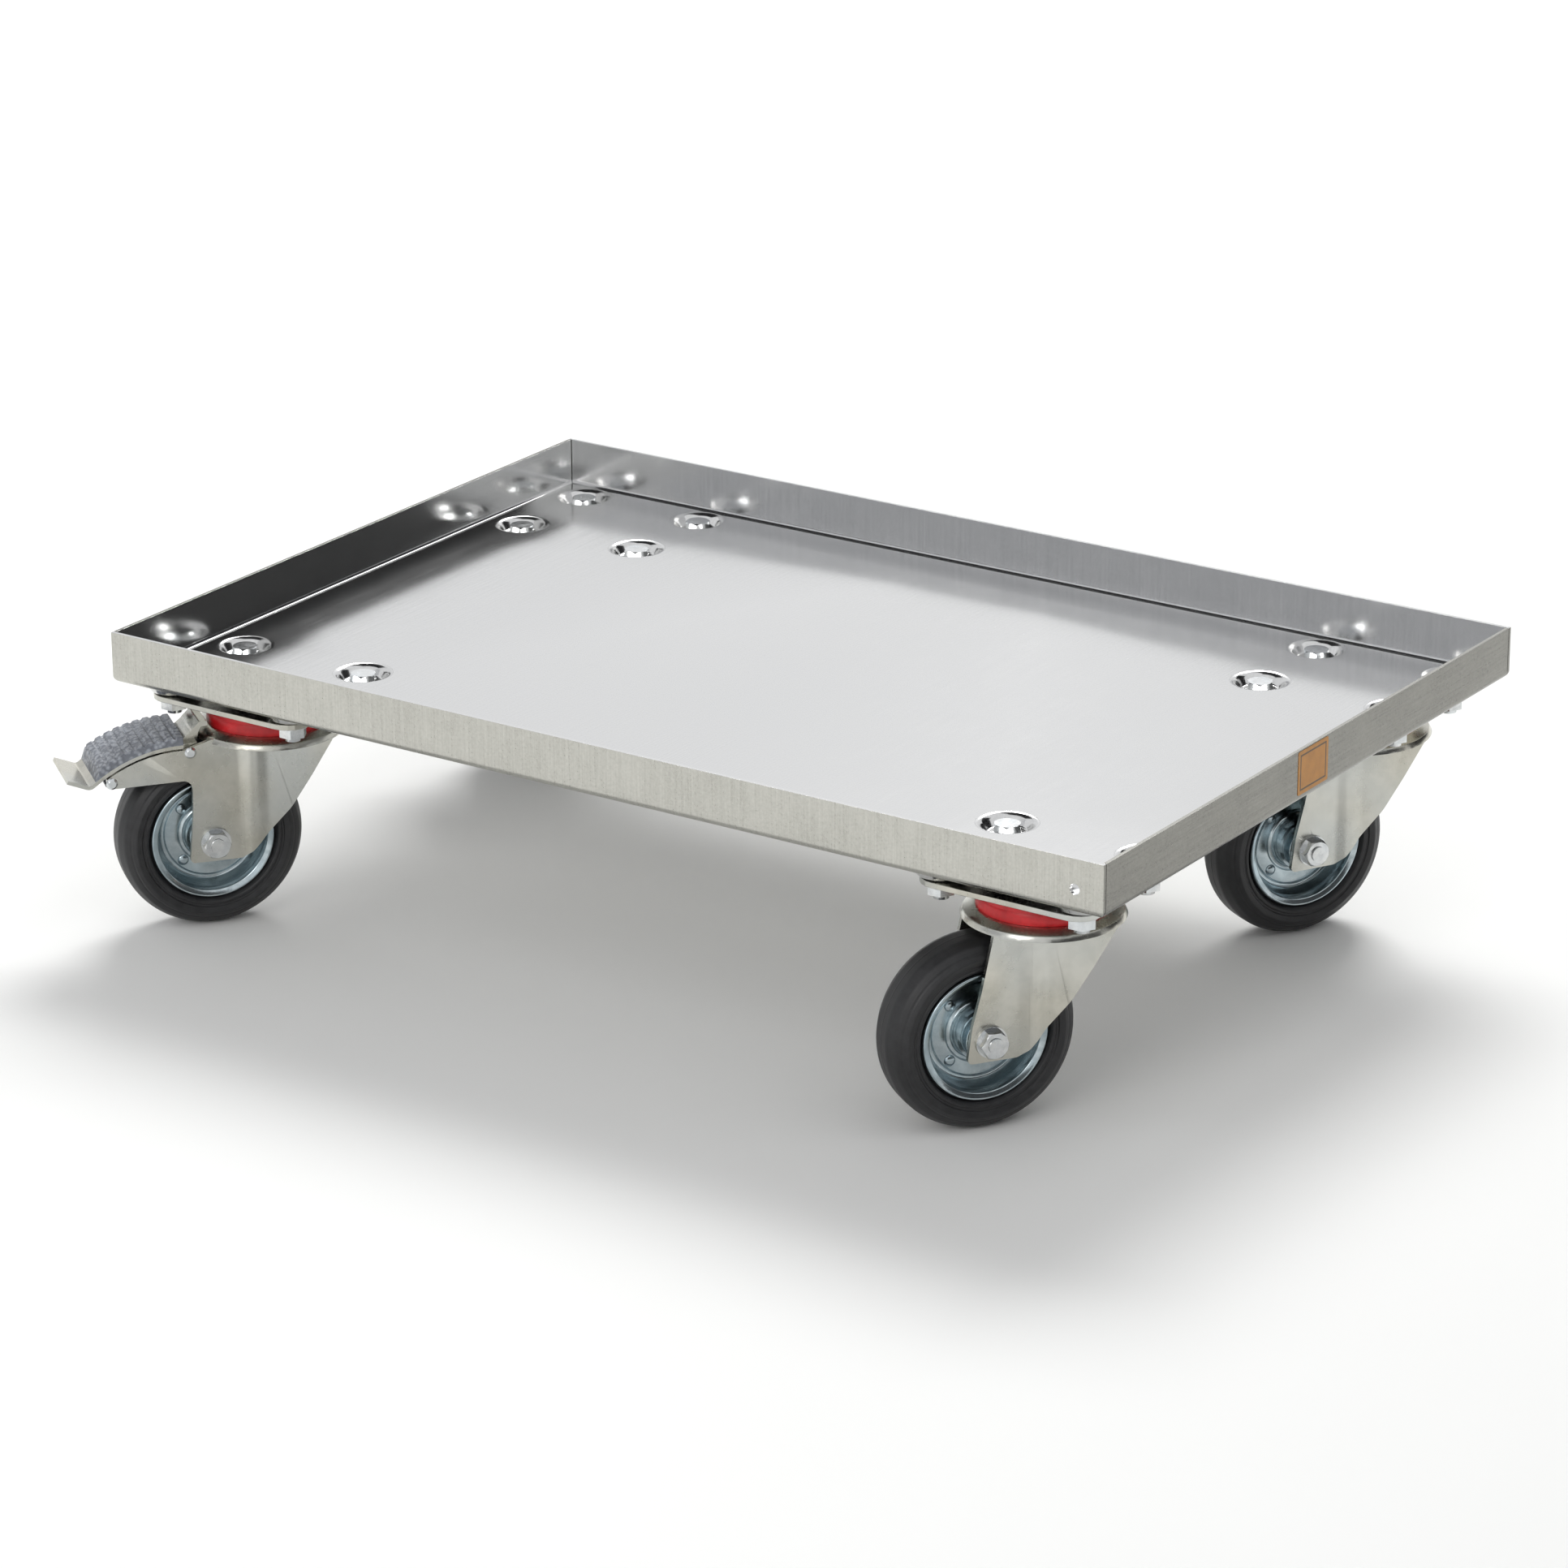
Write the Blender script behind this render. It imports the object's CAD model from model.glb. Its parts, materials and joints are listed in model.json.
import bmesh
import bpy
import json
import math
from mathutils import Matrix, Vector


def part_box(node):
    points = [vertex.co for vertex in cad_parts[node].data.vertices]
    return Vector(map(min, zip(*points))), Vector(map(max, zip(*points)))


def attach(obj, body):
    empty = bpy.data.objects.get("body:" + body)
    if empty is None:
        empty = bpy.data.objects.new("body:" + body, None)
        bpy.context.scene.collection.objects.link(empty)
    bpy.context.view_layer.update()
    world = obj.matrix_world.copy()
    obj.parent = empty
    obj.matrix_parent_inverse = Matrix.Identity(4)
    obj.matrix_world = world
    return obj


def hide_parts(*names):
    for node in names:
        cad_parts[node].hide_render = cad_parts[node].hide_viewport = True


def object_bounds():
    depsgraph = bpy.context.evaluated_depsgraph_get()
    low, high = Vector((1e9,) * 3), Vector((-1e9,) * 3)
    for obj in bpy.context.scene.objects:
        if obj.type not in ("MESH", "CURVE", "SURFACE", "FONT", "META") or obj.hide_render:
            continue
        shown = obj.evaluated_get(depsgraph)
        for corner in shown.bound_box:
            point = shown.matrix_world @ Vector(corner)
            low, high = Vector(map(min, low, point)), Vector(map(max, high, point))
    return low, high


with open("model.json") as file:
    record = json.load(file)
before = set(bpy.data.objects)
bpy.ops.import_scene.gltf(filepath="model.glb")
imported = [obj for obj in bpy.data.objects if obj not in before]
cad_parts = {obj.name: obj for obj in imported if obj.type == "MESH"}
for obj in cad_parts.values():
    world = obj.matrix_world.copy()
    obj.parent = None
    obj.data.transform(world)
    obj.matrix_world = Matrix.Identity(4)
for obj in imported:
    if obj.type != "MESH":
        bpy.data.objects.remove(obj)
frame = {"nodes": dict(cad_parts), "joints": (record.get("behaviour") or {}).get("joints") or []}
cad_lo, cad_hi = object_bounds()

# ---- The tray -------------------------------------------------------------
# A shallow pan folded from one blank of 2 mm zinc-coated steel. A press brake
# turns up the four walls, which stay unwelded, so a seam shows at each corner.
# Sixteen cups are pressed down into the deck for the heads of the castor bolts.

MM = 0.001
walls_lo, walls_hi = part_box("tray_walls")
HALF_L, HALF_W = walls_hi.x, walls_hi.y
RIM_Z = walls_hi.z
SHEET = -walls_lo.z
BEND_R = 2 * MM
SEAM = 0.5 * MM
TOUCH = 0.001 * MM
FLAT_L, FLAT_W = HALF_L - SHEET - BEND_R, HALF_W - SHEET - BEND_R
CUP_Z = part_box("tray_deck")[0].z + SHEET
# A cup in millimetres: where it leaves the deck, the edge that rounds over,
# the foot of its side, and the hole for the bolt.
CUP_R, CUP_EDGE_R, CUP_FLOOR_R, CUP_HOLE_R = 16, 13.8, 10.5, 4.5
CUP_EDGE_BEND, CUP_FLOOR_BEND = 4, 1.5
EARTH_AT = Vector((HALF_L - 16 * MM, 12.5 * MM - SHEET))
EARTH_R = 2.75 * MM
BOLT_PITCH_X, BOLT_PITCH_Y = 80 * MM, 60 * MM
CASTORS = ("front_left", "front_right", "rear_right", "rear_left")


def colour(hex_code):
    """An sRGB hex colour as linear RGBA."""
    parts = [int(hex_code[i:i + 2], 16) / 255 for i in (1, 3, 5)]
    return [c / 12.92 if c <= 0.04045 else ((c + 0.055) / 1.055) ** 2.4
            for c in parts] + [1.0]


def material(name):
    """A new material with an empty node tree."""
    made = bpy.data.materials.new(name)
    made.use_nodes = True
    made.node_tree.nodes.clear()
    return made


def add(mat, kind, inputs=(), stops=None, **settings):
    """Adds a shader node with its settings, its inputs (values or links) and its colour stops."""
    node = mat.node_tree.nodes.new("ShaderNode" + kind)
    for key, value in settings.items():
        setattr(node, key, value)
    for key, value in dict(inputs).items():
        if isinstance(value, bpy.types.NodeSocket):
            mat.node_tree.links.new(value, node.inputs[key])
        else:
            node.inputs[key].default_value = value
    if stops:
        ramp = node.color_ramp.elements
        for spare in range(len(stops) - 2):
            ramp.new(0.5)
        for element, (place, shade) in zip(ramp, stops):
            element.position = place
            element.color = shade
    return node


def smooth(obj, angle=35):
    """Smooth shading that keeps the edges sharper than the angle."""
    obj.data.shade_smooth()
    obj.data.set_sharp_from_angle(angle=math.radians(angle))


def add_object(name, bm, mat):
    """Makes an object of the mesh being built."""
    mesh = bpy.data.meshes.new(name)
    bm.to_mesh(mesh)
    bm.free()
    made = bpy.data.objects.new(name, mesh)
    bpy.context.scene.collection.objects.link(made)
    made.data.materials.append(mat)
    return made


def round_corner(a, b, c, r, steps):
    """Points of the arc of radius r that rounds the corner b of the path a, b, c."""
    u, v = (a - b).normalized(), (c - b).normalized()
    half = u.angle(v) / 2
    centre = b + (u + v).normalized() * r / math.sin(half)
    start, end = b + u * r / math.tan(half) - centre, b + v * r / math.tan(half) - centre
    turn = start.angle_signed(end)
    return [centre + Matrix.Rotation(-turn * i / steps, 2) @ start for i in range(steps + 1)]


def bent_path(corners, steps=5):
    """A path of (x, y, radius) corners in millimetres, each rounded to its radius, in metres."""
    at = [Vector((x, y)) * MM for x, y, r in corners]
    path = []
    for i, (x, y, r) in enumerate(corners):
        path += round_corner(at[i - 1], at[i], at[i + 1], r * MM, steps) if r else [at[i]]
    return path


# Galvanised sheet, rolled: zinc that has been dipped and rolled smooth. The
# rolls leave fine streaks along the blank, which the long walls carry upwards
# once they are folded, and the zinc clouds and speckles the sheet faintly.
STREAK_LENGTH = 45


def rolled_zinc(name, base, dark, rough_low, rough_high, along, streak_mm=1.1):
    """Rolled zinc whose streaks run along one axis, each STREAK_LENGTH times as long as wide."""
    mat = material(name)
    place = add(mat, "TexCoord").outputs["Object"]
    stretch = [1 / (streak_mm * MM)] * 3
    stretch[along] /= STREAK_LENGTH
    grain_at = add(mat, "Mapping", {"Vector": place, "Scale": stretch}).outputs[0]
    grain = add(mat, "TexNoise", {"Vector": grain_at, "Scale": 1.0, "Detail": 4.0}).outputs["Fac"]
    cloud = add(mat, "TexNoise", {"Vector": place, "Scale": 1 / (30 * MM), "Detail": 6.0,
                                  "Roughness": 0.65}).outputs["Fac"]
    speck = add(mat, "TexNoise", {"Vector": place, "Scale": 1 / (1.3 * MM),
                                  "Detail": 3.0}).outputs["Fac"]
    streaky = add(mat, "Mix", {"Factor": 0.4, "A": grain, "B": cloud}).outputs[0]
    mixed = add(mat, "Mix", {"Factor": 0.35, "A": streaky, "B": speck}).outputs[0]
    tone = add(mat, "ValToRGB", {"Fac": mixed},
               [(0.32, colour(dark)), (0.66, colour(base))]).outputs[0]
    rough = add(mat, "MapRange", {"Value": mixed, "From Min": 0.35, "From Max": 0.65,
                                  "To Min": rough_high, "To Max": rough_low}).outputs[0]
    bump = add(mat, "Bump", {"Height": grain, "Strength": 0.13,
                             "Distance": 0.01 * MM}).outputs[0]
    fine = add(mat, "Bump", {"Height": speck, "Strength": 0.2, "Distance": 0.008 * MM,
                             "Normal": bump}).outputs[0]
    shader = add(mat, "BsdfPrincipled", {"Base Color": tone, "Metallic": 1.0, "Roughness": rough,
                                         "Normal": fine})
    add(mat, "OutputMaterial", {"Surface": shader.outputs[0]})
    return mat


ALONG_Y, ALONG_Z = 1, 2
galvanised_deck = rolled_zinc("galvanised_sheet_rolled",
                              "#E0E0DF", "#D0D0CF", 0.13, 0.18, ALONG_Y)
galvanised_rise = rolled_zinc("galvanised_sheet_side_wall_inside",
                              "#DEDEDE", "#C8C9CA", 0.15, 0.22, ALONG_Z)
galvanised_side = rolled_zinc("galvanised_sheet_side_wall_outside",
                              "#CAC9C2", "#B2B1AA", 0.2, 0.3, ALONG_Z, 0.9)
galvanised_end = rolled_zinc("galvanised_sheet_end_wall_outside",
                             "#8F8E88", "#7B7A75", 0.2, 0.3, ALONG_Y, 0.9)


def bolt_places():
    """The centre of each pressed cup."""
    for name in CASTORS:
        lo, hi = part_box(name + "_top_plate")
        for sx in (-1, 1):
            for sy in (-1, 1):
                yield Vector(((lo.x + hi.x + sx * BOLT_PITCH_X) / 2,
                              (lo.y + hi.y + sy * BOLT_PITCH_Y) / 2))


def wall_flap(bm, along, out, half, edge, end_in):
    """One wall: its bend and its upright, as one strip along the deck's edge, facing inwards.

    Each row is how far out it lies, how high, and how far along it has closed up to the corner.
    """
    bend_steps, rise_steps, count = 8, 4, 60
    rows = [(BEND_R * math.sin(a), BEND_R * (1 - math.cos(a)), math.sin(a))
            for a in (math.pi / 2 * i / bend_steps for i in range(bend_steps + 1))]
    rows += [(BEND_R, BEND_R + (RIM_Z - BEND_R) * i / rise_steps, 1)
             for i in range(1, rise_steps + 1)]
    strips = []
    for reach, height, share in rows:
        end = half - (BEND_R + SHEET) * (1 - share) - end_in * share
        middle = out * (edge + reach) + Vector((0, 0, height))
        strips.append([bm.verts.new(along * end * (2 * i / count - 1) + middle)
                       for i in range(count + 1)])
    for low, high in zip(strips, strips[1:]):
        for i in range(count):
            face = bm.faces.new((low[i], low[i + 1], high[i + 1], high[i]))
            face.normal_update()
            if face.normal.dot(Vector((0, 0, 1)) - out) < 0:
                face.normal_flip()


def tray_sheet():
    """The inside face of the whole folded sheet, with its cups, to be thickened outwards."""
    bm = bmesh.new()
    x, y = Vector((1, 0, 0)), Vector((0, 1, 0))
    for side in (-1, 1):
        wall_flap(bm, x, y * side, HALF_L, FLAT_W, 0)
        wall_flap(bm, y, x * side, HALF_W, FLAT_L, SHEET + SEAM)
    bmesh.ops.remove_doubles(bm, verts=bm.verts, dist=TOUCH)
    edges = [e for e in bm.edges
             if e.is_boundary and all(abs(v.co.z) < TOUCH for v in e.verts)]
    around = 72
    turns = [math.tau * i / around for i in range(around)]
    cup = bent_path([(CUP_R, 0, 0), (CUP_EDGE_R, 0, CUP_EDGE_BEND),
                     (CUP_FLOOR_R, CUP_Z / MM, CUP_FLOOR_BEND), (CUP_HOLE_R, CUP_Z / MM, 0)], 8)
    for centre in bolt_places():
        rings = [[bm.verts.new((centre.x + r * math.cos(a), centre.y + r * math.sin(a), z))
                  for a in turns] for r, z in cup]
        edges += [bm.edges.new((rings[0][i - 1], rings[0][i])) for i in range(around)]
        for outer, inner in zip(rings, rings[1:]):
            for i in range(around):
                bm.faces.new((outer[i - 1], outer[i], inner[i], inner[i - 1]))
    bmesh.ops.triangle_fill(bm, use_beauty=True, edges=edges, normal=(0, 0, 1))
    for face in bm.faces:
        face.normal_update()
        level = max(abs(v.co.z) for v in face.verts) < TOUCH
        sunk = min(v.co.z for v in face.verts) < 0
        if (level or sunk) and face.normal.z < 0:
            face.normal_flip()
    return bm


def soften(obj, width, angle=40):
    """Rounds the sharp edges."""
    bevel = obj.modifiers.new("softened edges", "BEVEL")
    bevel.width = width
    bevel.segments = 2
    bevel.limit_method = "ANGLE"
    bevel.angle_limit = math.radians(angle)
    bevel.harden_normals = True


def finish_mesh(obj):
    """Applies the modifiers, so that the mesh itself is final."""
    bpy.context.view_layer.update()
    depsgraph = bpy.context.evaluated_depsgraph_get()
    final = bpy.data.meshes.new_from_object(obj.evaluated_get(depsgraph))
    obj.modifiers.clear()
    obj.data = final


def earth_hole():
    """A drill the size of the hole through the front wall."""
    bm = bmesh.new()
    bmesh.ops.create_cone(bm, cap_ends=True, segments=40, radius1=EARTH_R, radius2=EARTH_R,
                          depth=4 * SHEET)
    drill = add_object("drill", bm, galvanised_side)
    drill.matrix_world = (Matrix.Translation((EARTH_AT.x, -HALF_W, EARTH_AT.y))
                          @ Matrix.Rotation(math.pi / 2, 4, "X"))
    return drill


tray = add_object("tray", tray_sheet(), galvanised_deck)
smooth(tray)
sheet = tray.modifiers.new("sheet thickness", "SOLIDIFY")
sheet.thickness = SHEET
sheet.offset = -1
sheet.use_even_offset = True
drill = earth_hole()
bore = tray.modifiers.new("earthing hole", "BOOLEAN")
bore.object = drill
soften(tray, 0.4 * MM)
finish_mesh(tray)
bpy.data.objects.remove(drill)
for finish in (galvanised_rise, galvanised_side, galvanised_end):
    tray.data.materials.append(finish)
RISE_SLOT, SIDE_SLOT, END_SLOT = 1, 2, 3
for face in tray.data.polygons:
    on_end = abs(face.center.x) > FLAT_L
    on_side = abs(face.center.y) > FLAT_W and abs(face.normal.x) < abs(face.normal.y)
    axis = 0 if on_end else 1
    inside = face.normal[axis] * face.center[axis] < 0
    if on_side:
        face.material_index = RISE_SLOT if inside else SIDE_SLOT
    elif on_end and not inside:
        face.material_index = END_SLOT
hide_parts("tray_deck", "tray_walls")
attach(tray, "truck")

# ---- The label ------------------------------------------------------------
# A small orange vinyl sticker on the end wall, printed with a thin dark frame
# and rubbed on, so it lies flat and its corners are rounded.


def printed_vinyl(name, ground, faded, ink, centre, size):
    """Vinyl film: satin, faintly orange-peeled, with a frame printed round its edge."""
    mat = material(name)
    place = add(mat, "TexCoord").outputs["Object"]
    at = add(mat, "VectorMath", {0: place, 1: centre}, operation="SUBTRACT").outputs[0]
    away = add(mat, "VectorMath", {0: at}, operation="ABSOLUTE").outputs[0]
    part = add(mat, "SeparateXYZ", {0: away})
    inset, line = 2.0 * MM, 0.9 * MM
    reaches = []
    for margin in (inset, inset + line):
        held = [add(mat, "Math", {0: part.outputs[axis], 1: half - margin},
                    operation="LESS_THAN").outputs[0]
                for axis, half in (("Y", size[0] / 2), ("Z", size[1] / 2))]
        reaches.append(add(mat, "Math", {0: held[0], 1: held[1]}, operation="MULTIPLY").outputs[0])
    printed = add(mat, "Math", {0: reaches[0], 1: reaches[1]}, operation="SUBTRACT").outputs[0]
    fade = add(mat, "TexNoise", {"Vector": place, "Scale": 1 / (6 * MM),
                                 "Detail": 4.0}).outputs["Fac"]
    paint = add(mat, "ValToRGB", {"Fac": fade},
                [(0.3, colour(ground)), (0.7, colour(faded))]).outputs[0]
    inked = add(mat, "Mix", {"Factor": printed, "A": paint, "B": colour(ink)}, data_type="RGBA")
    peel = add(mat, "TexNoise", {"Vector": place, "Scale": 1 / (0.8 * MM),
                                 "Detail": 2.0}).outputs["Fac"]
    bump = add(mat, "Bump", {"Height": peel, "Strength": 0.3, "Distance": 0.02 * MM}).outputs[0]
    shader = add(mat, "BsdfPrincipled", {"Base Color": inked.outputs[2], "Roughness": 0.42,
                                         "IOR": 1.5, "Normal": bump})
    add(mat, "OutputMaterial", {"Surface": shader.outputs[0]})
    return mat


def plain(node_name, mat, soft_mm=0.0, angle=35):
    """A CAD piece that is shown as it was machined, with its finish and softened edges."""
    obj = frame["nodes"][node_name]
    obj.data.materials.clear()
    obj.data.materials.append(mat)
    if soft_mm:
        weld = obj.modifiers.new("joined faces", "WELD")
        weld.merge_threshold = TOUCH
        soften(obj, soft_mm * MM, angle)
    return obj


label_lo, label_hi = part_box("label")
label_size = (label_hi.y - label_lo.y, label_hi.z - label_lo.z)
label_vinyl = printed_vinyl("printed_vinyl_film", "#C98A38", "#B97E33", "#5A4A33",
                            (label_lo + label_hi) / 2, label_size)
plain("label", label_vinyl)

# ---- Deck bolts -----------------------------------------------------------
# M8 hexagon bolts, cold headed and bright zinc plated. Each head sits in its
# cup just below the deck, and a flanged nut holds the castor's plate beneath.


def plated_steel(name, base, dark, rough, cloud_mm, tint, pit_mm=0.5, pit_depth=0.03):
    """Zinc-plated steel: satin, clouded by the tint of its passivation, with a fine grain."""
    mat = material(name)
    place = add(mat, "TexCoord").outputs["Object"]
    cloud = add(mat, "TexNoise", {"Vector": place, "Scale": 1 / (cloud_mm * MM), "Detail": 4.0,
                                  "Roughness": 0.65}).outputs["Fac"]
    hue = add(mat, "TexNoise", {"Vector": place, "Scale": 1 / (cloud_mm * 2.3 * MM),
                                "Detail": 1.0}).outputs["Fac"]
    tone = add(mat, "ValToRGB", {"Fac": cloud},
               [(0.32, colour(dark)), (0.66, colour(base))]).outputs[0]
    share = add(mat, "MapRange", {"Value": hue, "From Min": 0.45, "From Max": 0.7,
                                  "To Max": 0.55}).outputs[0]
    tinted = add(mat, "Mix", {"Factor": share, "A": tone, "B": colour(tint)},
                 data_type="RGBA").outputs[2]
    gloss = add(mat, "MapRange", {"Value": cloud, "From Min": 0.3, "From Max": 0.7,
                                  "To Min": rough + 0.08, "To Max": rough - 0.05}).outputs[0]
    pits = add(mat, "TexNoise", {"Vector": place, "Scale": 1 / (pit_mm * MM),
                                 "Detail": 3.0}).outputs["Fac"]
    bump = add(mat, "Bump", {"Height": pits, "Strength": 0.3,
                             "Distance": pit_depth * MM}).outputs[0]
    shader = add(mat, "BsdfPrincipled", {"Base Color": tinted, "Metallic": 1.0, "Roughness": gloss,
                                         "Normal": bump})
    add(mat, "OutputMaterial", {"Surface": shader.outputs[0]})
    return mat


zinc_fastener = plated_steel("zinc_plated_cold_headed_steel", "#E2E3E2", "#C2C4C5", 0.2, 5,
                             "#D3D9DC", 0.5, 0.015)
plain("deck_bolts", zinc_fastener, soft_mm=0.25)

# ---- Castor plates and swivel heads ---------------------------------------
# Each castor is bolted on by a pressed steel plate. The fork hangs from it on
# a rivet and turns on a ring of balls, which a red plastic ring keeps clean.

zinc_pressed = plated_steel("zinc_plated_pressed_steel", "#CAC7BC", "#B4B2A7", 0.24, 22,
                            "#BFC4C5", 0.8, 0.03)
bearing_steel = plated_steel("greased_ball_bearing_steel", "#A9ABAE", "#7E8083", 0.16, 6,
                             "#8C8878")


def moulded_plastic(name, base, deep, rough, grain_mm, depth_mm):
    """Injection-moulded plastic: one colour all through, with the mould's fine texture."""
    mat = material(name)
    place = add(mat, "TexCoord").outputs["Object"]
    mottle = add(mat, "TexNoise", {"Vector": place, "Scale": 1 / (9 * MM),
                                   "Detail": 4.0}).outputs["Fac"]
    tone = add(mat, "ValToRGB", {"Fac": mottle},
               [(0.35, colour(deep)), (0.65, colour(base))]).outputs[0]
    rub = add(mat, "MapRange", {"Value": mottle, "From Min": 0.3, "From Max": 0.7,
                                "To Min": rough + 0.08, "To Max": rough - 0.04}).outputs[0]
    grain = add(mat, "TexNoise", {"Vector": place, "Scale": 1 / (grain_mm * MM),
                                  "Detail": 2.0}).outputs["Fac"]
    bump = add(mat, "Bump", {"Height": grain, "Strength": 0.4,
                             "Distance": depth_mm * MM}).outputs[0]
    shader = add(mat, "BsdfPrincipled", {"Base Color": tone, "Roughness": rub, "IOR": 1.49,
                                         "Normal": bump})
    add(mat, "OutputMaterial", {"Surface": shader.outputs[0]})
    return mat


red_plastic = moulded_plastic("red_polypropylene_moulded", "#D21F26", "#B0151B", 0.34, 0.6, 0.03)
for name in CASTORS:
    plain(name + "_top_plate", zinc_pressed, soft_mm=0.35)
    plain(name + "_king_rivet", zinc_fastener, soft_mm=0.3)
    plain(name + "_bearing_balls", bearing_steel)
    plain(name + "_dust_ring", red_plastic, soft_mm=0.2)

# ---- Forks ----------------------------------------------------------------
# Pressed in one piece from sheet steel and zinc plated: a dished crown and two
# legs, each with a rib pressed down it. The axle is a bolt through a sleeve.

for name in CASTORS:
    plain(name + "_fork", zinc_pressed, soft_mm=0.4)
    plain(name + "_axle_bolt", zinc_fastener, soft_mm=0.25)
    plain(name + "_axle_nut", zinc_fastener, soft_mm=0.25)
    plain(name + "_axle_sleeve", bearing_steel)

# ---- Rims -----------------------------------------------------------------
# Two pressed steel halves riveted back to back, with a rolled lip that grips
# the tyre. Blue-passivated zinc leaves them glossier and bluer than the forks.


def turned(bm, profile, around=96, closed=False):
    """Sweeps a profile of (radius, height) points round the Z axis."""
    rings = [[bm.verts.new((r * math.cos(a), r * math.sin(a), z))
              for a in (math.tau * i / around for i in range(around))] for r, z in profile]
    pairs = list(zip(rings, rings[1:])) + ([(rings[-1], rings[0])] if closed else [])
    for low, high in pairs:
        for i in range(around):
            bm.faces.new((low[i - 1], low[i], high[i], high[i - 1]))
    return rings


def wheel_place(name):
    """A matrix at the axle's middle: its Z axis is the axle and its X axis points up."""
    joint = next(j for j in frame["joints"] if j["name"] == name + "_wheel_spin")
    axle, up = Vector(joint["axis"]), Vector((0, 0, 1))
    turn = Matrix((up, axle.cross(up), axle)).transposed().to_4x4()
    return Matrix.Translation(joint["pos_m"]) @ turn


def rim_mesh():
    """Both halves of a rim, with a raised ring on each disc and domed rivets.

    The profile is in millimetres: the hub's hole, the bed under the tyre, and the rolled lip.
    """
    bm = bmesh.new()
    hub, bed, lip, lip_y = 13.6, 29.4, 33.4, 14
    rivets, rivet_r, rivet_rise, rivet_z, rivet_circle = 4, 3.1, 1.5, 2.2, 20.5
    face = bent_path([(hub, 10, 0), (hub, 1.7, 2.4), (16.4, 1.7, 0.6), (17.2, 2.4, 0.6),
                      (23.8, 2.4, 0.6), (24.6, 1.7, 0.6), (26.4, 1.7, 1.8), (bed, 7, 2),
                      (bed, 12.6, 1), (lip - 0.8, lip_y - 0.05, 0.9), (lip - 0.02, lip_y - 1.2, 0)])
    back = bent_path([(lip - 1.2, lip_y - 1.6, 0), (bed + 1.5, 11.4, 0.6), (bed + 1.5, 6.6, 1.5),
                      (27.2, 0.1, 1.2), (hub - 1.5, 0.1, 1.2), (hub - 1.5, 10, 0)])
    for side in (1, -1):
        turned(bm, [(r, y * side) for r, y in face + back], closed=True)
    for i in range(rivets):
        a = math.tau * (i + 0.5) / rivets
        for side in (1, -1):
            dome = [(rivet_r * math.cos(b) * MM, (rivet_z + rivet_rise * math.sin(b)) * MM * side)
                    for b in (math.pi / 2 * k / 6 for k in range(6))]
            start = len(bm.verts)
            rings = turned(bm, dome, 24)
            bm.faces.new(rings[-1])
            bm.verts.ensure_lookup_table()
            for vert in bm.verts[start:]:
                vert.co += Vector((math.cos(a), math.sin(a), 0)) * rivet_circle * MM
    bmesh.ops.recalc_face_normals(bm, faces=bm.faces)
    return bm


rim_steel = plated_steel("blue_passivated_zinc_steel", "#C6D0D3", "#93A0A6", 0.18, 12,
                         "#AFC3CC", 1.1, 0.05)
hub_plastic = moulded_plastic("grey_nylon_moulded", "#6A6D70", "#4F5255", 0.45, 0.7, 0.03)
for name in CASTORS:
    rim = add_object(name + "_wheel_rim", rim_mesh(), rim_steel)
    smooth(rim, 50)
    rim.matrix_world = wheel_place(name)
    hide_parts(name + "_rim")
    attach(rim, name + "_wheel")
    plain(name + "_hub_tube", rim_steel, soft_mm=0.3)
    plain(name + "_hub_bush", hub_plastic)

# ---- Tyres ----------------------------------------------------------------
# Solid black rubber, moulded in two halves and pressed onto the rim. The mould
# leaves a fine parting line round the tread and shallow rings on each side.


def tyre_mesh():
    """A solid tyre with rounded shoulders, two raised rings a side and a parting line.

    The profile is in millimetres, from the rim's bed round one side to the parting line.
    """
    bm = bmesh.new()
    half = bent_path([(31.05, 0, 0), (31.05, 10.8, 0.5), (33.8, 11.7, 0.5), (35.4, 14.4, 1.2),
                      (36.9, 14.5, 0.3), (37.2, 14.1, 0.3), (38.2, 14.2, 0.3), (38.6, 14.9, 0.3),
                      (41.6, 15.6, 1.2), (43.6, 14.2, 1.5), (44.2, 13.5, 0.2), (45.0, 13.1, 0.3),
                      (47.4, 11.2, 4), (49.9, 5.9, 6), (49.9, 0.5, 0.2), (50, 0.2, 0)], 6)
    other = [Vector((r, -y)) for r, y in reversed(half) if y > 0]
    turned(bm, half + other, 128, closed=True)
    bmesh.ops.recalc_face_normals(bm, faces=bm.faces)
    return bm


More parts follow.
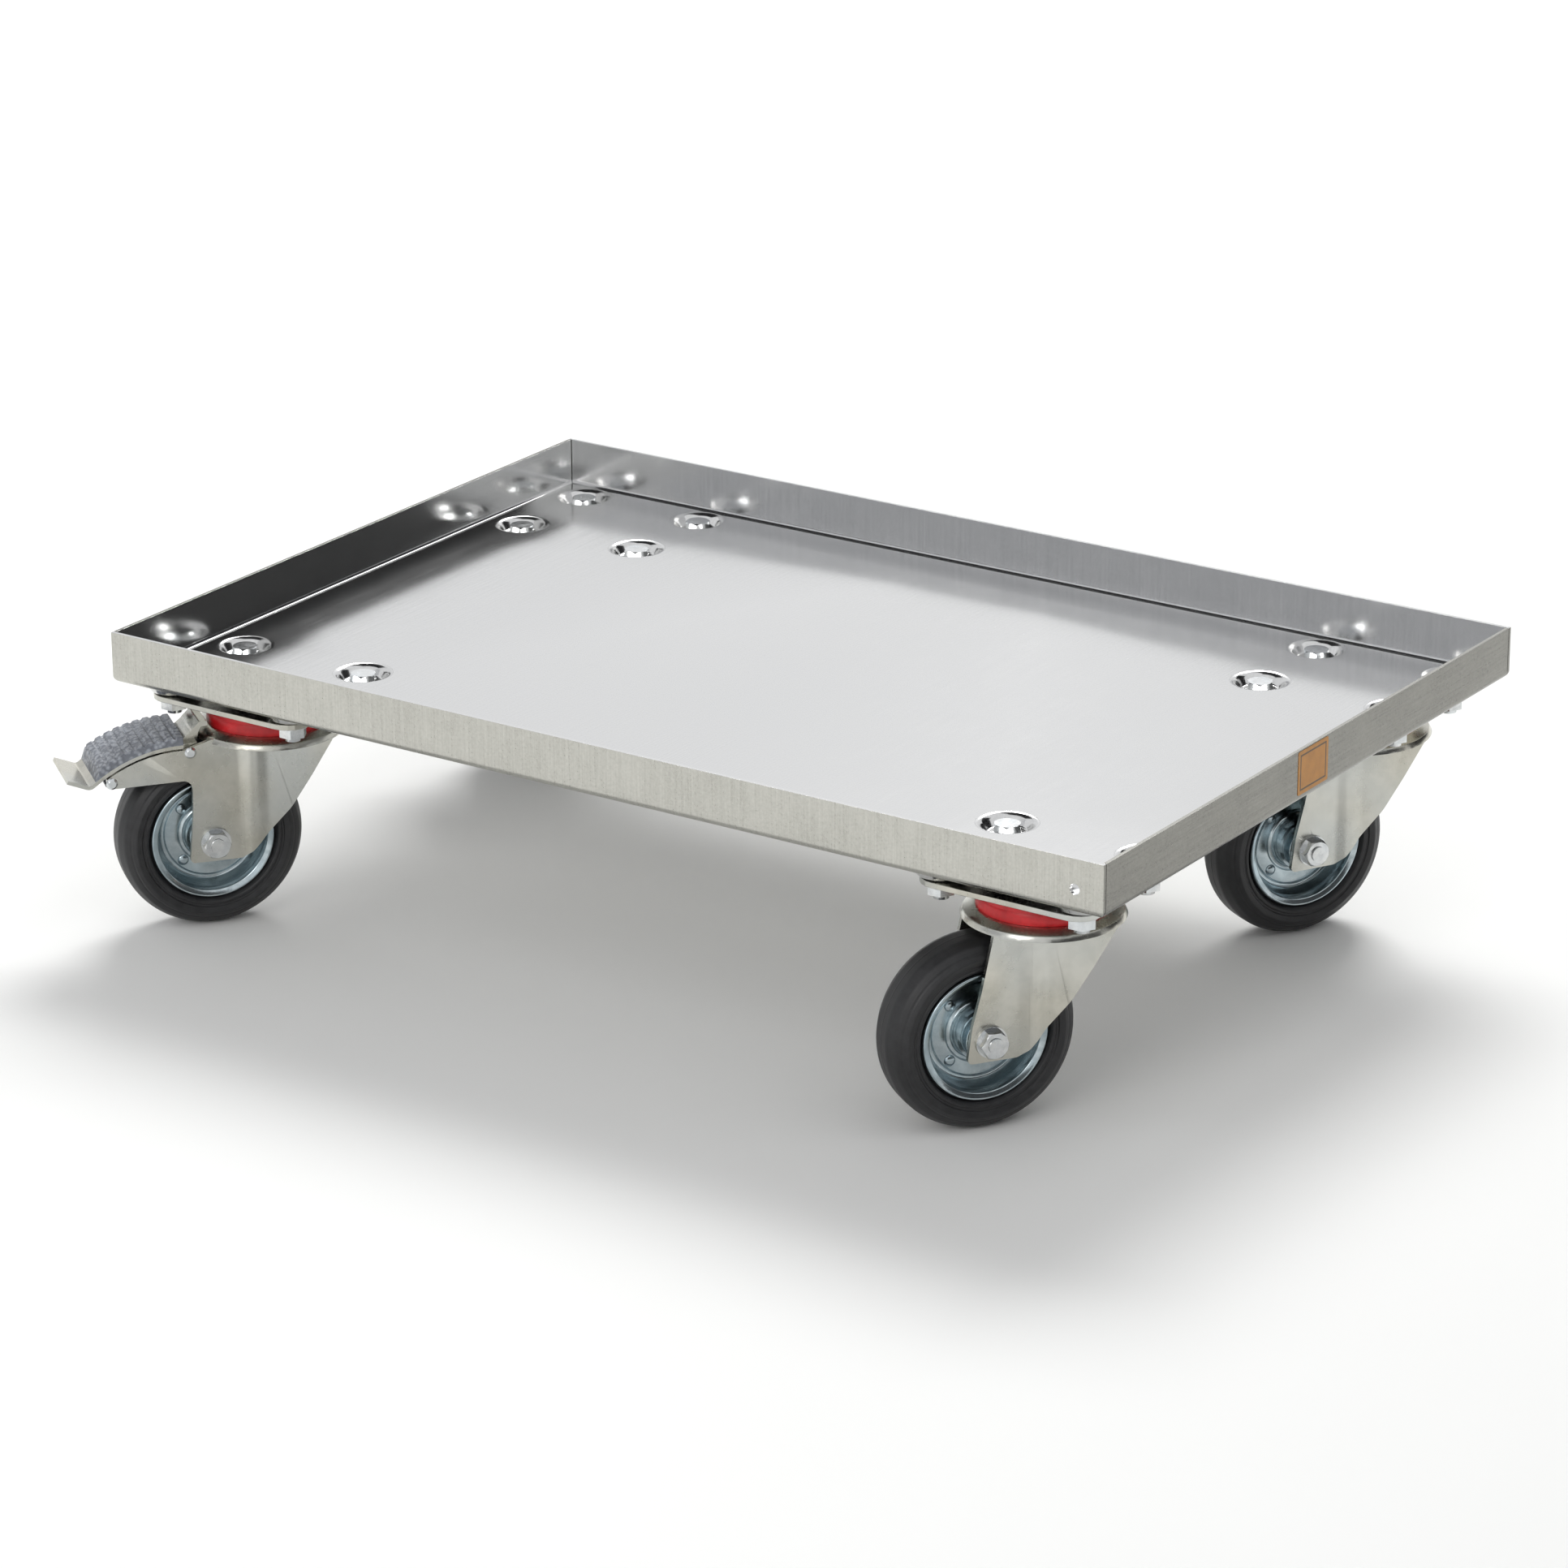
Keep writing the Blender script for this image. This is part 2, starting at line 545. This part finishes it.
def tyre_rubber(name):
    """Carbon-black rubber: satin, greyed a little by dust, with the mould's turning marks."""
    mat = material(name)
    place = add(mat, "TexCoord").outputs["Object"]
    dust = add(mat, "TexNoise", {"Vector": place, "Scale": 1 / (7 * MM), "Detail": 6.0,
                                 "Roughness": 0.7}).outputs["Fac"]
    tone = add(mat, "ValToRGB", {"Fac": dust},
               [(0.4, colour("#19191B")), (0.8, colour("#2C2C2E"))]).outputs[0]
    rub = add(mat, "MapRange", {"Value": dust, "From Min": 0.3, "From Max": 0.7,
                                "To Min": 0.38, "To Max": 0.55}).outputs[0]
    part = add(mat, "SeparateXYZ", {0: place})
    across = add(mat, "CombineXYZ", {0: part.outputs[0], 1: part.outputs[1]}).outputs[0]
    radius = add(mat, "VectorMath", {0: across}, operation="LENGTH").outputs["Value"]
    mark_pitch = 0.9 * MM
    phase = add(mat, "Math", {0: radius, 1: math.tau / mark_pitch},
                operation="MULTIPLY").outputs[0]
    ridge = add(mat, "Math", {0: phase}, operation="SINE").outputs[0]
    ringed = add(mat, "Bump", {"Height": ridge, "Strength": 0.2,
                               "Distance": 0.03 * MM}).outputs[0]
    grit = add(mat, "TexNoise", {"Vector": place, "Scale": 1 / (0.6 * MM),
                                 "Detail": 3.0}).outputs["Fac"]
    bump = add(mat, "Bump", {"Height": grit, "Strength": 0.4, "Distance": 0.04 * MM,
                             "Normal": ringed}).outputs[0]
    shader = add(mat, "BsdfPrincipled", {"Base Color": tone, "Roughness": rub, "IOR": 1.52,
                                         "Normal": bump})
    add(mat, "OutputMaterial", {"Surface": shader.outputs[0]})
    return mat


black_rubber = tyre_rubber("solid_black_rubber")
for name in CASTORS:
    tyre = add_object(name + "_wheel_tyre", tyre_mesh(), black_rubber)
    smooth(tyre, 60)
    tyre.matrix_world = wheel_place(name)
    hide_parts(name + "_tyre")
    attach(tyre, name + "_wheel")

# ---- Brakes ---------------------------------------------------------------
# A foot pedal on the left-hand castors: a folded steel lever with a grey
# plastic tread, pivoted in the fork. Pressed down, it bends a leaf spring
# onto the tyre.


def pebbled_plastic(name, base, deep, rough, pebble_mm):
    """Moulded plastic with a coarse raised pebble pattern, worn glossy on its high spots."""
    mat = material(name)
    place = add(mat, "TexCoord").outputs["Object"]
    cells = add(mat, "TexVoronoi", {"Vector": place, "Scale": 1 / (pebble_mm * MM),
                                    "Smoothness": 0.4}, feature="SMOOTH_F1").outputs["Distance"]
    tone = add(mat, "ValToRGB", {"Fac": cells},
               [(0.15, colour(base)), (0.6, colour(deep))]).outputs[0]
    rub = add(mat, "MapRange", {"Value": cells, "From Min": 0.1, "From Max": 0.6,
                                "To Min": rough, "To Max": rough + 0.25}).outputs[0]
    bump = add(mat, "Bump", {"Height": cells, "Strength": 0.9, "Distance": 0.6 * MM},
               invert=True).outputs[0]
    shader = add(mat, "BsdfPrincipled", {"Base Color": tone, "Roughness": rub, "IOR": 1.53,
                                         "Normal": bump})
    add(mat, "OutputMaterial", {"Surface": shader.outputs[0]})
    return mat


tread_plastic = pebbled_plastic("grey_polyamide_tread", "#A5AAB2", "#70747C", 0.16, 2.6)
spring_steel = plated_steel("blackened_spring_steel", "#4A4B4D", "#2E2F31", 0.35, 8, "#3A3D42")
BRAKED = ("front_left", "rear_left")
for name in BRAKED:
    plain(name + "_brake_lever", zinc_pressed, soft_mm=0.3)
    plain(name + "_brake_tread", tread_plastic, soft_mm=0.3, angle=25)
    plain(name + "_brake_pins", zinc_fastener, soft_mm=0.2)
    plain(name + "_brake_spring", spring_steel, soft_mm=0.15)

# ---- Studio ---------------------------------------------------------------
# A pale floor, a big soft light behind and to the left that the deck mirrors,
# a soft fill from the front, and dark cards that give the steel its edges.

FLOOR_Z = cad_lo.z


def studio_card(name, mat, place, target, size):
    """A flat card that faces the target."""
    bm = bmesh.new()
    bmesh.ops.create_grid(bm, x_segments=1, y_segments=1, size=0.5)
    card = add_object(name, bm, mat)
    away = (Vector(place) - Vector(target)).normalized()
    facing = away.to_track_quat("Z", "Y").to_matrix().to_4x4()
    card.matrix_world = Matrix.Translation(place) @ facing @ Matrix.Diagonal((*size, 1, 1))
    return card


def softbox(name, place, target, size, power, tint=(1, 1, 1)):
    """A rectangular soft light that faces the target."""
    lamp = bpy.data.lights.new(name, "AREA")
    lamp.shape = "RECTANGLE"
    lamp.size, lamp.size_y = size
    lamp.energy = power
    lamp.color = tint
    obj = bpy.data.objects.new(name, lamp)
    bpy.context.scene.collection.objects.link(obj)
    away = (Vector(place) - Vector(target)).normalized()
    obj.matrix_world = Matrix.Translation(place) @ away.to_track_quat("Z", "Y").to_matrix().to_4x4()
    return obj


def studio_cloth(name, dark, base):
    """A matt backdrop, slightly uneven in tone."""
    mat = material(name)
    fibre = add(mat, "TexNoise", {"Scale": 40.0, "Detail": 3.0}).outputs["Fac"]
    tone = add(mat, "ValToRGB", {"Fac": fibre},
               [(0.3, colour(dark)), (0.7, colour(base))]).outputs[0]
    shader = add(mat, "BsdfPrincipled", {"Base Color": tone, "Roughness": 0.9, "IOR": 1.3})
    add(mat, "OutputMaterial", {"Surface": shader.outputs[0]})
    return mat


paper = studio_cloth("matt_white_paper", "#F4F4F2", "#F8F8F6")
studio_card("floor", paper, (0, 0, FLOOR_Z), (0, 0, FLOOR_Z - 1), (30, 30))

softbox("back_light", (-1.2, 2.6, 2.8), (0, 0, 0), (2.2, 1.4), 130)
softbox("front_light", (0.2, -3.0, 1.5), (0, 0, 0), (1.6, 1.0), 14, (1.0, 0.98, 0.95))

black_cloth = studio_cloth("black_studio_cloth", "#1B1B1D", "#232325")
dim_cloth = studio_cloth("dark_grey_studio_cloth", "#3C3C3D", "#444445")
grey_cloth = studio_cloth("grey_studio_cloth", "#B4B5B8", "#BCBDC0")
CARD_TARGET = (0, 0, 0.1)
# The cloths that the bright steel mirrors: name, cloth, place and size.
for name, mat, place, size in (
        ("back_card", black_cloth, (1.3, 1.8, 0.85), (2.0, 1.8)),
        ("ceiling_card", black_cloth, (-0.8, -0.1, 2.0), (1.9, 2.3)),
        ("side_card", dim_cloth, (1.5, -0.3, 0.3), (2.0, 0.8)),
        ("left_card", grey_cloth, (-1.5, -2.0, 0.9), (1.8, 1.2))):
    card = studio_card(name, mat, place, CARD_TARGET, size)
    card.visible_camera = card.visible_shadow = False

world = bpy.data.worlds.new("studio")
bpy.context.scene.world = world
world.use_nodes = True
world.node_tree.nodes["Background"].inputs["Color"].default_value = colour("#F4F5F7")
world.node_tree.nodes["Background"].inputs["Strength"].default_value = 0.95

# ---- Camera ---------------------------------------------------------------
# At the height and side from which the truck is usually shown, with a long lens.

FRAME_SIDE = 1932
VIEW_AZ, VIEW_EL, VIEW_ROLL = math.radians(34.944), math.radians(21.189), math.radians(-0.556)
VIEW_DISTANCE, FOCAL = 2.7902, 7219.5
VIEW_TARGET = Vector((0.13727, -0.27810, 0.026))
VIEW_CENTRE = (890.3, 1037.0)
SENSOR = 36.0

back = Vector((math.sin(VIEW_AZ) * math.cos(VIEW_EL), -math.cos(VIEW_AZ) * math.cos(VIEW_EL),
               math.sin(VIEW_EL)))
right = Vector((0, 0, 1)).cross(back).normalized()
axes = Matrix((right, back.cross(right), back)).transposed().to_4x4()
lens = bpy.data.cameras.new("camera")
lens.sensor_width = SENSOR
lens.lens = SENSOR * FOCAL / FRAME_SIDE
lens.shift_x = (FRAME_SIDE / 2 - VIEW_CENTRE[0]) / FRAME_SIDE
lens.shift_y = (VIEW_CENTRE[1] - FRAME_SIDE / 2) / FRAME_SIDE
lens.clip_end = 100
camera = bpy.data.objects.new("camera", lens)
bpy.context.scene.collection.objects.link(camera)
camera.matrix_world = (Matrix.Translation(VIEW_TARGET + back * VIEW_DISTANCE) @ axes
                       @ Matrix.Rotation(VIEW_ROLL, 4, "Z"))
bpy.context.scene.camera = camera
bpy.context.scene.view_settings.view_transform = "Standard"
